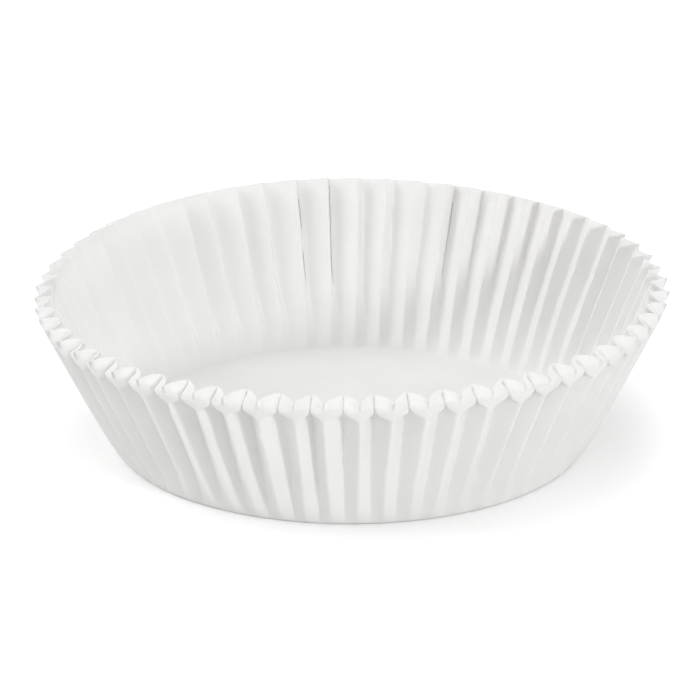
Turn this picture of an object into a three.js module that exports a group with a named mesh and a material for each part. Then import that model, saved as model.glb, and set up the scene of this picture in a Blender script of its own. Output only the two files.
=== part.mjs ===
// A pleated paper baking cup: one disc of thin white paper, pressed into a round tray.
// Millimetres, +Z up, with the origin at the centre of the floor's underside.
import * as THREE from "three";

// The floor and the paper
const floorDiameter = 75;
const paperThickness = 0.12;
const foldRadius = 1.1; // where the floor turns up into the wall

// The wall, measured along the slope of the paper
const wallSlope = 25; // from the floor's fold to the lip
const wallLean = 24.8; // degrees off vertical
const lipSlope = 2.2; // the band at the rim that stands up steeper
const lipLean = 12;

// The pleats
const pleatCount = 60;
const pleatDepth = 3.1; // from an inner fold to an outer fold, at the rim
const depthGrowth = 0.6; // the power of the distance from the floor with which they deepen
const outerFoldWidth = 1.1; // the outer folds are soft: this wide, measured at the rim,
const outerFoldDrop = 0.18; // and with shoulders this far behind their crests
const pinchReach = 1.9; // the valleys close over this stretch of the wall, below the lip,
const slitWidth = 0.6; // to slits this wide,
const slitDrop = 0.5; // and the hoods between the slits curve back this far
const archRoundness = 0.55; // below 1, the arches of the cut edge have rounder tops

// How finely the sheet is divided
const foldSteps = 2;
const wallSteps = 3;
const wallSpacing = 1.4; // above 1, its steps lie closer together near the floor

const wallRise = THREE.MathUtils.degToRad(90 - wallLean);
const lipRise = THREE.MathUtils.degToRad(90 - lipLean);
const floorEdge = floorDiameter / 2 - foldRadius * Math.tan(wallRise / 2);
const wallStart = floorEdge + foldRadius * wallRise;
const lipStart = wallStart + wallSlope;
const pinchStart = lipStart - pinchReach;
const paperEnd = lipStart + lipSlope;
const pitchAngle = (2 * Math.PI) / pleatCount;

// The meridian of the sheet's middle surface: a point and the slope at a distance along the paper.
function meridian(distance) {
  if (distance <= floorEdge) return { radius: distance, height: 0, rise: 0 };
  const turned = Math.min((distance - floorEdge) / foldRadius, wallRise);
  const point = {
    radius: floorEdge + foldRadius * Math.sin(turned),
    height: foldRadius * (1 - Math.cos(turned)),
    rise: turned,
  };
  const upWall = THREE.MathUtils.clamp(distance - wallStart, 0, wallSlope);
  point.radius += upWall * Math.cos(wallRise);
  point.height += upWall * Math.sin(wallRise);
  const upLip = Math.max(distance - lipStart, 0);
  if (upLip > 0) point.rise = THREE.MathUtils.lerp(wallRise, lipRise, upLip / lipSlope);
  point.radius += upLip * Math.cos((wallRise + point.rise) / 2);
  point.height += upLip * Math.sin((wallRise + point.rise) / 2);
  return point;
}

// The pleats take up the paper that the wall's smaller girth leaves over, so they start from
// nothing at the floor's fold and deepen all the way to the rim.
function depthAt(distance) {
  const share = Math.max(distance - floorEdge, 0) / (paperEnd - floorEdge);
  return pleatDepth * share ** depthGrowth;
}

// Each section is half a pleat as three points between its folds, in shares of the pitch from
// the inner fold and in shares of the depth behind the outer fold.
const rimPitch = pitchAngle * meridian(lipStart).radius;
const crest = 0.5;
const wallSection = [
  [0, 1],
  [(crest - outerFoldWidth / rimPitch / 2) / 2, (1 + outerFoldDrop / pleatDepth) / 2],
  [crest - outerFoldWidth / rimPitch / 2, outerFoldDrop / pleatDepth],
];
// At the foot of the lip the valleys are pinched to slits, and the outer folds swell into hoods.
const pinchedSection = [
  [0, 1],
  [slitWidth / rimPitch / 2, slitDrop / pleatDepth],
  [crest / 2, slitDrop / pleatDepth / 2],
];
// At the cut edge the inner folds open into round arches that meet in a point at each outer fold.
const archSection = [0, 1 / 3, 2 / 3].map((share) => [
  share * crest,
  Math.cos(share * (Math.PI / 2)) ** archRoundness,
]);

// Half a pleat at a distance along the paper, blended between the three sections.
function halfPleat(distance) {
  const pinched = THREE.MathUtils.clamp((distance - pinchStart) / pinchReach, 0, 1);
  const opened = Math.max(distance - lipStart, 0) / lipSlope;
  return wallSection.map((point, i) =>
    point.map((value, axis) => {
      const closed = THREE.MathUtils.lerp(value, pinchedSection[i][axis], pinched);
      return THREE.MathUtils.lerp(closed, archSection[i][axis], opened);
    }),
  );
}

// A whole pleat: up one side, over the crest and down the mirrored side to the next inner fold.
function pleatSection(distance) {
  const near = halfPleat(distance);
  const far = near.slice(1).reverse().map(([share, drop]) => [1 - share, drop]);
  return [...near, [crest, 0], ...far];
}

// The points of one ring of the sheet, set square to its slope by the depth of each fold.
function ringPoints(distance) {
  const { radius, height, rise } = meridian(distance);
  const depth = depthAt(distance);
  const points = [];
  for (let pleat = 0; pleat < pleatCount; pleat++) {
    for (const [share, drop] of pleatSection(distance)) {
      const angle = (pleat + share - crest) * pitchAngle;
      const out = (0.5 - drop) * depth;
      const reach = radius + out * Math.sin(rise);
      const level = height - out * Math.cos(rise);
      points.push([reach * Math.cos(angle), reach * Math.sin(angle), level]);
    }
  }
  return points;
}

// The distances from the centre at which the sheet has a ring.
function ringDistances() {
  const distances = [floorEdge];
  for (let i = 1; i <= foldSteps; i++) {
    distances.push(floorEdge + ((wallStart - floorEdge) * i) / foldSteps);
  }
  for (let i = 1; i <= wallSteps; i++) {
    distances.push(wallStart + (pinchStart - wallStart) * (i / wallSteps) ** wallSpacing);
  }
  return [...distances, lipStart, paperEnd];
}

// The folded sheet with no thickness yet: a centre point, then ring after ring.
function foldedSheet() {
  const positions = [0, 0, 0];
  const rings = ringDistances().map(ringPoints);
  rings.flat().forEach((point) => positions.push(...point));
  const columns = rings[0].length;
  const at = (ring, column) => 1 + ring * columns + (column % columns);
  const faces = [];
  for (let column = 0; column < columns; column++) {
    faces.push(0, at(0, column), at(0, column + 1));
    for (let ring = 1; ring < rings.length; ring++) {
      const [a, b] = [at(ring - 1, column), at(ring - 1, column + 1)];
      const [c, d] = [at(ring, column + 1), at(ring, column)];
      faces.push(a, d, b, b, d, c);
    }
  }
  const edge = rings[0].map((_, column) => at(rings.length - 1, column));
  const sheet = new THREE.BufferGeometry();
  sheet.setAttribute("position", new THREE.Float32BufferAttribute(positions, 3));
  sheet.setIndex(faces);
  sheet.computeVertexNormals();
  return { sheet, edge };
}

// Gives the sheet its thickness: the upper face lies on the normals, the lower face against
// them, and a strip along the cut edge closes the two.
function thicken({ sheet, edge }, thickness) {
  const middle = sheet.getAttribute("position");
  const normals = sheet.getAttribute("normal");
  const point = new THREE.Vector3();
  const normal = new THREE.Vector3();
  const positions = [];
  for (const side of [1, -1]) {
    for (let i = 0; i < middle.count; i++) {
      point.fromBufferAttribute(middle, i);
      normal.fromBufferAttribute(normals, i);
      point.addScaledVector(normal, (side * thickness) / 2);
      positions.push(point.x, point.y, point.z + thickness / 2);
    }
  }
  const upper = Array.from(sheet.index.array);
  const faces = [...upper];
  for (let i = 0; i < upper.length; i += 3) {
    faces.push(upper[i] + middle.count, upper[i + 2] + middle.count, upper[i + 1] + middle.count);
  }
  edge.forEach((a, i) => {
    const b = edge[(i + 1) % edge.length];
    faces.push(a, a + middle.count, b, b, a + middle.count, b + middle.count);
  });
  const solid = new THREE.BufferGeometry();
  solid.setAttribute("position", new THREE.Float32BufferAttribute(positions, 3));
  solid.setIndex(faces);
  solid.computeVertexNormals();
  return solid;
}

const whitePaper = new THREE.MeshStandardMaterial({
  color: 0xf3f3f2,
  roughness: 0.9,
  metalness: 0,
});

const cup = new THREE.Mesh(thicken(foldedSheet(), paperThickness), whitePaper);
cup.name = "baking_cup";

const bakingCup = new THREE.Group();
bakingCup.add(cup);

export default bakingCup;
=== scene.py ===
import math
import random

import bmesh
import bpy
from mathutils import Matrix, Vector


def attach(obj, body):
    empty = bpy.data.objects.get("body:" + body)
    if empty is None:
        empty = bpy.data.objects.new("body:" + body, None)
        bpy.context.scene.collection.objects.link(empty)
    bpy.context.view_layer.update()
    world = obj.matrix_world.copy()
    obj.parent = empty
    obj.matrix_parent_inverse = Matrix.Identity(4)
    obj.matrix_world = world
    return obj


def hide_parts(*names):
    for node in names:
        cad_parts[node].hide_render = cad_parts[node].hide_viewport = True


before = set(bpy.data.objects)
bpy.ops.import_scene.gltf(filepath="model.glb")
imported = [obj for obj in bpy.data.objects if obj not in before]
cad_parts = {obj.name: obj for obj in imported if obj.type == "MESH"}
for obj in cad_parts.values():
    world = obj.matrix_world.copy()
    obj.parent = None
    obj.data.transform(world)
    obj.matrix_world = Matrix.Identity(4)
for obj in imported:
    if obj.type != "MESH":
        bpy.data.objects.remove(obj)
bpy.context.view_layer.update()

mm = 0.001
photoSide = 700  # the photograph is square, so are the renders

# The cup's own sizes in millimetres, along the paper where they follow the slope.
cup = {
    "floorRadius": 37.5,
    "paperThickness": 0.12,
    "foldRadius": 0.7,
    "wallSlope": 26.3,
    "wallLean": 24.6,
    "lipSlope": 1.1,
    "lipLean": 12,
    "pleatCount": 60,
    "pleatDepth": 3.1,
    "depthGrowth": 0.55,  # how fast the pleats deepen up the wall
    "pleatStart": 2.6,  # they come out of the smooth edge of the floor over this length
    "softCrest": 0.14,  # how round the outer folds are, as a share of half a pleat
    "sharpValley": 0.05,
    "slitShare": 0.035,  # half a valley's width where the lip pinches it, in half pleats
    "hoodShare": 0.62,  # how much of a flank a hood takes; the slit's side is the rest
    "hoodCurve": 0.2,  # how far the hoods beside the slit curve back, as a share of the depth
    "archRoundness": 0.5,  # below 1 the arches of the edge get rounder tops
    "pinchReach": 0.9,  # the pinching fades out this far below the lip,
    "hoodSlant": 1.6,  # and this much lower still at the outer folds
    "turn": 0.79,  # turns the pleats round the axis, in pleats
}

# What the hands and the press leave behind: no two pleats are quite alike.
wear = {
    "seed": 41,
    "pitchWander": 0.045,  # of a pleat
    "depthWander": 0.06,  # of the depth
    "waves": (2, 3, 4, 5, 7),  # round the mouth
    "rimWave": 0.35,  # the mouth is not quite round, in millimetres,
    "rimLift": 0.12,  # nor quite level
    "wanderHeight": 0.5,  # the folds reach their full wander at this share of the slope
    "kinksPerFold": 3,
    "kinkHeight": 0.70,  # the band of kinks in the folds, as a share of the slope
    "kinkSpread": 0.10,
    "kinkWidth": (0.012, 0.03),
    "kinkSize": 0.11,  # in millimetres
    "sway": 0.08,  # slow bends of the folds, in millimetres
    "swayHeight": (0.3, 0.8),  # where they are widest
    "rightRise": 0.72,  # the mouth slopes up to the right, this much from the middle
    "backSide": (-0.4, 0.7),  # sines of the angles where the far side's shape starts and is full
    "backLip": 0.06,  # how much of the pinched lip is left over there,
    "backDepth": 0.8,  # how much of the pleats' depth at the edge,
    "backLean": 0.34,  # and how far the outer folds lean over, in pleats
    "floorOval": 0.012,  # the floor is this much less deep than wide
}

# How finely the sheet is divided.
mesh = {
    "columnsPerPleat": 20,
    "gather": 0.09,  # how much closer they lie at the folds
    "floorRings": [10, 20, 29, 34.5],
    "foldRings": 4,
    "wallRings": 20,
    "bendRings": 7,
    "lipRings": 5,
}

wallRise = math.radians(90 - cup["wallLean"])
lipRise = math.radians(90 - cup["lipLean"])
floorEdge = cup["floorRadius"] - cup["foldRadius"] * math.tan(wallRise / 2)
wallStart = floorEdge + cup["foldRadius"] * wallRise
lipStart = wallStart + cup["wallSlope"]
paperEnd = lipStart + cup["lipSlope"]
pleatAngle = 2 * math.pi / cup["pleatCount"]


def mix(a, b, share):
    return a + (b - a) * share


def ease(value, low, high):
    share = min(max((value - low) / (high - low), 0), 1)
    return share * share * (3 - 2 * share)


def meridian(distance, lip):
    # The middle of the pleats: radius, height and slope at a distance along the paper.
    if distance <= floorEdge:
        return distance, 0, 0
    rise = min((distance - floorEdge) / cup["foldRadius"], wallRise)
    radius = floorEdge + cup["foldRadius"] * math.sin(rise)
    height = cup["foldRadius"] * (1 - math.cos(rise))
    upWall = min(max(distance - wallStart, 0), cup["wallSlope"])
    radius += upWall * math.cos(wallRise)
    height += upWall * math.sin(wallRise)
    upLip = max(distance - lipStart, 0)
    if upLip > 0:
        rise = mix(wallRise, lipRise, lip * upLip / cup["lipSlope"])
    radius += upLip * math.cos((wallRise + rise) / 2)
    height += upLip * math.sin((wallRise + rise) / 2)
    return radius, height, rise


def depthAt(distance):
    # The pleats take up the paper that the wall's girth leaves over.
    share = max(distance - floorEdge, 0) / (paperEnd - floorEdge)
    start = ease(distance, floorEdge, floorEdge + cup["pleatStart"])
    return cup["pleatDepth"] * share ** cup["depthGrowth"] * start


def rounded(away, softness):
    # A straight flank with a soft fold at its near end, from 0 to 1.
    low = softness
    high = math.hypot(1, softness)
    return (math.hypot(away, softness) - low) / (high - low)


def wallPoint(fromCrest):
    drop = rounded(fromCrest, cup["softCrest"])
    return fromCrest / 2, 1 - rounded(1 - drop, cup["sharpValley"])


def pinchedPoint(fromCrest):
    hood = cup["hoodShare"]
    hoodWidth = (1 - cup["slitShare"]) / 2
    if fromCrest < hood:
        share = fromCrest / hood
        return hoodWidth * math.sin(share * math.pi / 2), cup["hoodCurve"] * share**2
    share = (fromCrest - hood) / (1 - hood)
    width = mix(hoodWidth, 0.5, share**3)
    return width, mix(cup["hoodCurve"], 1, share)


def archPoint(fromCrest):
    return fromCrest / 2, math.sin(fromCrest * math.pi / 2) ** cup["archRoundness"]


def pleatPoint(fromCrest, distance, lip):
    # Where a point of the flank lies: its width from the crest and its drop behind it.
    lower = cup["hoodSlant"] * (1 - fromCrest)
    pinched = lip * min(max((distance - lipStart + lower) / cup["pinchReach"] + 1, 0), 1)
    opened = lip * math.sqrt(max(distance - lipStart, 0) / cup["lipSlope"])
    point = []
    for wall, slit, arch in zip(
        wallPoint(fromCrest), pinchedPoint(fromCrest), archPoint(fromCrest)
    ):
        point.append(mix(mix(wall, slit, pinched), arch, opened))
    return point


def makeFolds(dice):
    # One entry for each fold line, inner and outer by turns: how it strays from the regular one.
    folds = []
    for _ in range(2 * cup["pleatCount"]):
        kinks = []
        for _ in range(wear["kinksPerFold"]):
            kinks.append(
                (
                    dice.gauss(wear["kinkHeight"], wear["kinkSpread"]),
                    dice.uniform(*wear["kinkWidth"]),
                    dice.gauss(0, wear["kinkSize"]),
                )
            )
        folds.append(
            {
                "turn": dice.gauss(0, wear["pitchWander"]),
                "depth": dice.gauss(0, wear["depthWander"]),
                "sway": dice.gauss(0, wear["sway"]),
                "swayHeight": dice.uniform(*wear["swayHeight"]),
                "kinks": kinks,
            }
        )
    return folds


def strayOf(fold, upWall):
    # Sideways, in millimetres, at a share of the wall's slope.
    sway = fold["sway"] * math.sin(math.pi * min(upWall / (2 * fold["swayHeight"]), 1)) ** 2
    for height, width, size in fold["kinks"]:
        sway += size * math.exp(-(((upWall - height) / width) ** 2))
    return sway


def sheetPoint(pleat, fromInner, distance, folds, waves):
    # fromInner runs from 0 to 1 across the pleat, with its crest in the middle.
    around = math.sin((pleat + 0.5 + cup["turn"]) * pleatAngle - math.pi / 2)
    behind = ease(around, *wear["backSide"])
    lip = mix(1, wear["backLip"], behind)
    radius, height, rise = meridian(distance, lip)
    depth = depthAt(distance)
    upWall = max(distance - floorEdge, 0) / (paperEnd - floorEdge)
    fromCrest = abs(2 * fromInner - 1)
    side = 1 if fromInner > 0.5 else -1
    depth *= mix(1, wear["backDepth"], behind * upWall**2)
    width, drop = pleatPoint(fromCrest, distance, lip)

    crestFold = folds[2 * pleat + 1]
    valleyFold = folds[(2 * pleat + (2 if side > 0 else 0)) % len(folds)]
    towardValley = 2 * width
    crestTurn = crestFold["turn"] + wear["backLean"] * behind
    turn = mix(crestTurn, valleyFold["turn"], towardValley)
    turn *= ease(upWall, 0, wear["wanderHeight"])
    stray = mix(strayOf(crestFold, upWall), strayOf(valleyFold, upWall), towardValley)
    angle = (pleat + 0.5 + side * width + turn + cup["turn"]) * pleatAngle + stray / radius
    angle -= math.pi / 2

    deeper = 1 + mix(crestFold["depth"], valleyFold["depth"], drop)
    out = (0.5 - drop) * depth * deeper
    reach = radius + out * math.sin(rise)
    level = height - out * math.cos(rise)
    for number, phase, size in waves:
        wave = math.sin(number * angle + phase) * size * upWall
        reach += wear["rimWave"] * wave
        level += wear["rimLift"] * wave
    level += wear["rightRise"] * math.cos(angle) * upWall
    back = reach * math.sin(angle) * (1 - wear["floorOval"] * (1 - upWall))
    return Vector((reach * math.cos(angle), back, level)) * mm


def ringDistances():
    rings = list(mesh["floorRings"]) + [floorEdge]
    for i in range(1, mesh["foldRings"] + 1):
        rings.append(mix(floorEdge, wallStart, i / mesh["foldRings"]))
    bendStart = lipStart - cup["pinchReach"] - cup["hoodSlant"]
    for i in range(1, mesh["wallRings"] + 1):
        rings.append(mix(wallStart, bendStart, i / mesh["wallRings"]))
    for i in range(1, mesh["bendRings"] + 1):
        rings.append(mix(bendStart, lipStart, i / mesh["bendRings"]))
    for i in range(1, mesh["lipRings"] + 1):
        rings.append(mix(lipStart, paperEnd, i / mesh["lipRings"]))
    return rings


def columnShares():
    half = mesh["columnsPerPleat"] // 2
    shares = []
    for i in range(half):
        share = i / half
        shares.append((share - math.sin(2 * math.pi * share) * mesh["gather"]) / 2)
    return shares + [share + 0.5 for share in shares]


def makeSheet(paper):
    dice = random.Random(wear["seed"])
    folds = makeFolds(dice)
    waves = []
    for number in wear["waves"]:
        waves.append((number, dice.uniform(0, 2 * math.pi), dice.gauss(0, 1) / number))
    bm = bmesh.new()
    centre = bm.verts.new((0, 0, 0))
    shares = columnShares()
    previous = None
    for distance in ringDistances():
        ring = []
        for pleat in range(cup["pleatCount"]):
            for share in shares:
                ring.append(bm.verts.new(sheetPoint(pleat, share, distance, folds, waves)))
        count = len(ring)
        for i in range(count):
            j = (i + 1) % count
            if previous is None:
                bm.faces.new((centre, ring[i], ring[j]))
            else:
                bm.faces.new((previous[i], ring[i], ring[j], previous[j]))
        previous = ring
    for face in bm.faces:
        face.smooth = True
    lift = cup["paperThickness"] / 2 * mm
    bmesh.ops.translate(bm, verts=bm.verts, vec=(0, 0, lift))
    data = bpy.data.meshes.new("cupPaper")
    bm.to_mesh(data)
    bm.free()
    sheet = bpy.data.objects.new("cupPaper", data)
    bpy.context.scene.collection.objects.link(sheet)
    data.materials.append(paper)

    thickness = sheet.modifiers.new("paperThickness", "SOLIDIFY")
    thickness.thickness = cup["paperThickness"] * mm
    thickness.offset = 0
    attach(sheet, "root")
    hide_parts("baking_cup")
    return sheet


paperLook = {
    "colour": (0.86, 0.858, 0.85, 1),
    "darker": (0.835, 0.832, 0.822, 1),
    "roughness": 0.85,
    "specular": 0.3,
    "cloudScale": 90,  # the cloudy look of the pulp, in patches per metre
    "cloudDetail": 6,
    "cloudEdges": (0.35, 0.65),
    "fibreScale": 1800,
    "fibreDetail": 4,
    "fibreCurl": 1.5,
    "fibreBump": 0.08,
    "fibreHeight": 0.05,  # in millimetres
}


def makePaper():
    material = bpy.data.materials.new("whiteBakingPaper")
    material.use_nodes = True
    nodes = material.node_tree.nodes
    links = material.node_tree.links
    shader = nodes["Principled BSDF"]
    shader.inputs["Roughness"].default_value = paperLook["roughness"]
    shader.inputs["Specular IOR Level"].default_value = paperLook["specular"]

    place = nodes.new("ShaderNodeTexCoord")
    clouds = nodes.new("ShaderNodeTexNoise")
    clouds.inputs["Scale"].default_value = paperLook["cloudScale"]
    clouds.inputs["Detail"].default_value = paperLook["cloudDetail"]
    links.new(place.outputs["Object"], clouds.inputs["Vector"])
    tones = nodes.new("ShaderNodeValToRGB")
    tones.color_ramp.elements[0].position = paperLook["cloudEdges"][0]
    tones.color_ramp.elements[0].color = paperLook["darker"]
    tones.color_ramp.elements[1].position = paperLook["cloudEdges"][1]
    tones.color_ramp.elements[1].color = paperLook["colour"]
    links.new(clouds.outputs["Fac"], tones.inputs["Fac"])
    links.new(tones.outputs["Color"], shader.inputs["Base Color"])

    fibres = nodes.new("ShaderNodeTexNoise")
    fibres.inputs["Scale"].default_value = paperLook["fibreScale"]
    fibres.inputs["Detail"].default_value = paperLook["fibreDetail"]
    fibres.inputs["Distortion"].default_value = paperLook["fibreCurl"]
    links.new(place.outputs["Object"], fibres.inputs["Vector"])
    bump = nodes.new("ShaderNodeBump")
    bump.inputs["Strength"].default_value = paperLook["fibreBump"]
    bump.inputs["Distance"].default_value = paperLook["fibreHeight"] * mm
    links.new(fibres.outputs["Fac"], bump.inputs["Height"])
    links.new(bump.outputs["Normal"], shader.inputs["Normal"])
    return material


# The camera's place was worked out from the rim's outline in the photograph.
view = {
    "elevation": 21.5,
    "distance": 1.11,  # from the point it looks at, in metres
    "lookAt": (0, 0, 0.01445),
    "rimRadius": 0.0504,
    "rimRadiusPixels": 317,
    "sensorWidth": 36,
    "clip": (0.01, 20),
}


def makeCamera():
    data = bpy.data.cameras.new("camera")
    camera = bpy.data.objects.new("camera", data)
    bpy.context.scene.collection.objects.link(camera)
    elevation = math.radians(view["elevation"])
    back = Vector((0, -math.cos(elevation), math.sin(elevation)))
    target = Vector(view["lookAt"])
    camera.location = target + back * view["distance"]
    camera.rotation_mode = "QUATERNION"
    camera.rotation_quaternion = (-back).to_track_quat("-Z", "Y")
    pixelsPerRadian = view["rimRadiusPixels"] / view["rimRadius"] * view["distance"]
    data.sensor_width = view["sensorWidth"]
    data.lens = pixelsPerRadian / photoSide * data.sensor_width
    data.clip_start, data.clip_end = view["clip"]
    bpy.context.scene.camera = camera


# Each lamp is a soft round one that faces the cup. Azimuths run to the right of the camera.
light = {
    "lamps": {
        "keyLamp": {"azimuth": 40, "elevation": 17, "size": 0.14, "power": 3.7},
        "leftLamp": {"azimuth": -88, "elevation": 45, "size": 0.9, "power": 6.3},
        "frontLamp": {"azimuth": 0, "elevation": 58, "size": 0.8, "power": 2.8},
        "rightLamp": {"azimuth": 105, "elevation": 35, "size": 0.9, "power": 1.9},
        "backLamp": {"azimuth": 180, "elevation": 60, "size": 0.6, "power": 2.2},
    },
    "lampDistance": 1.2,
    "surround": 0.855,  # a light tent, with walls brighter than its top
    "atHorizon": 1.0,
    "overhead": 0.1,
}


def makeLamp(name, azimuth, elevation, size, power):
    turn = math.radians(azimuth)
    rise = math.radians(elevation)
    away = Vector(
        (
            math.sin(turn) * math.cos(rise),
            -math.cos(turn) * math.cos(rise),
            math.sin(rise),
        )
    )
    data = bpy.data.lights.new(name, "AREA")
    data.shape = "DISK"
    data.size = size
    data.energy = power
    lamp = bpy.data.objects.new(name, data)
    lamp.location = away * light["lampDistance"]
    lamp.rotation_mode = "QUATERNION"
    lamp.rotation_quaternion = (-away).to_track_quat("-Z", "Y")
    bpy.context.scene.collection.objects.link(lamp)


def makeLights():
    for name, lamp in light["lamps"].items():
        makeLamp(name, **lamp)

    world = bpy.data.worlds.new("studio")
    world.use_nodes = True
    bpy.context.scene.world = world
    nodes = world.node_tree.nodes
    links = world.node_tree.links
    nodes.clear()
    output = nodes.new("ShaderNodeOutputWorld")
    soft = nodes.new("ShaderNodeBackground")
    soft.inputs["Strength"].default_value = light["surround"]
    backdrop = nodes.new("ShaderNodeBackground")
    backdrop.inputs["Strength"].default_value = 1
    seen = seenRays(nodes, links)
    choose = nodes.new("ShaderNodeMixShader")
    links.new(seen, choose.inputs["Fac"])
    links.new(soft.outputs["Background"], choose.inputs[1])
    links.new(backdrop.outputs["Background"], choose.inputs[2])
    links.new(choose.outputs["Shader"], output.inputs["Surface"])
    place = nodes.new("ShaderNodeTexCoord")
    axes = nodes.new("ShaderNodeSeparateXYZ")
    links.new(place.outputs["Generated"], axes.inputs["Vector"])
    walls = nodes.new("ShaderNodeValToRGB")
    walls.color_ramp.elements[0].color = (*[light["atHorizon"]] * 3, 1)
    walls.color_ramp.elements[1].color = (*[light["overhead"]] * 3, 1)
    links.new(axes.outputs["Z"], walls.inputs["Fac"])
    links.new(walls.outputs["Color"], soft.inputs["Color"])
    backdrop.inputs["Color"].default_value = (1, 1, 1, 1)


def seenRays(nodes, links):
    # 1 for rays that see the backdrop: from the camera, in a gloss or through something clear.
    path = nodes.new("ShaderNodeLightPath")
    total = path.outputs["Is Camera Ray"]
    for name in ("Is Glossy Ray", "Is Transmission Ray"):
        larger = nodes.new("ShaderNodeMath")
        larger.operation = "MAXIMUM"
        links.new(total, larger.inputs[0])
        links.new(path.outputs[name], larger.inputs[1])
        total = larger.outputs["Value"]
    return total


floorLook = {
    "size": 3.0,
    "colour": (0.86, 0.86, 0.86, 1),
    "glow": 0.47,  # lifts the lit floor to white
    # Ambient occlusion turns the glow down beside the cup: a painted contact shadow on the
    # floor.
    "glowUnderPaintedShade": 0.15,  # and only this much right under the cup,
    "paintedShadowReach": 0.017,  # growing over this distance,
    "paintedShadowFall": 3,  # slowly at first
}


def makeFloor():
    bm = bmesh.new()
    bmesh.ops.create_grid(bm, x_segments=1, y_segments=1, size=floorLook["size"])
    data = bpy.data.meshes.new("floor")
    bm.to_mesh(data)
    bm.free()
    floor = bpy.data.objects.new("floor", data)
    bpy.context.scene.collection.objects.link(floor)

    material = bpy.data.materials.new("paleFloor")
    material.use_nodes = True
    nodes = material.node_tree.nodes
    links = material.node_tree.links
    nodes.clear()
    output = nodes.new("ShaderNodeOutputMaterial")
    matt = nodes.new("ShaderNodeBsdfDiffuse")
    matt.inputs["Color"].default_value = floorLook["colour"]
    glow = nodes.new("ShaderNodeEmission")
    # Ambient occlusion dims the floor's glow near the cup, painting the contact shadow.
    paintedShadeOcclusion = nodes.new("ShaderNodeAmbientOcclusion")
    paintedShadeOcclusion.inputs["Distance"].default_value = floorLook["paintedShadowReach"]
    less = nodes.new("ShaderNodeMath")
    less.operation = "POWER"
    less.inputs[1].default_value = floorLook["paintedShadowFall"]
    scaled = nodes.new("ShaderNodeMath")
    scaled.operation = "MULTIPLY_ADD"
    scaled.inputs[1].default_value = floorLook["glow"] - floorLook["glowUnderPaintedShade"]
    scaled.inputs[2].default_value = floorLook["glowUnderPaintedShade"]
    links.new(paintedShadeOcclusion.outputs["AO"], less.inputs[0])
    links.new(less.outputs["Value"], scaled.inputs[0])
    links.new(scaled.outputs["Value"], glow.inputs["Strength"])
    both = nodes.new("ShaderNodeAddShader")
    links.new(matt.outputs["BSDF"], both.inputs[0])
    links.new(glow.outputs["Emission"], both.inputs[1])
    choose = nodes.new("ShaderNodeMixShader")
    links.new(seenRays(nodes, links), choose.inputs["Fac"])
    links.new(matt.outputs["BSDF"], choose.inputs[1])
    links.new(both.outputs["Shader"], choose.inputs[2])
    links.new(choose.outputs["Shader"], output.inputs["Surface"])
    data.materials.append(material)


bpy.context.scene.view_settings.view_transform = "Standard"
makeCamera()
makeLights()
makeFloor()
print("stage: camera, lamps and floor are set")
paper = makePaper()
sheet = makeSheet(paper)
print("cup:", len(sheet.data.polygons), "faces on each side of the sheet")
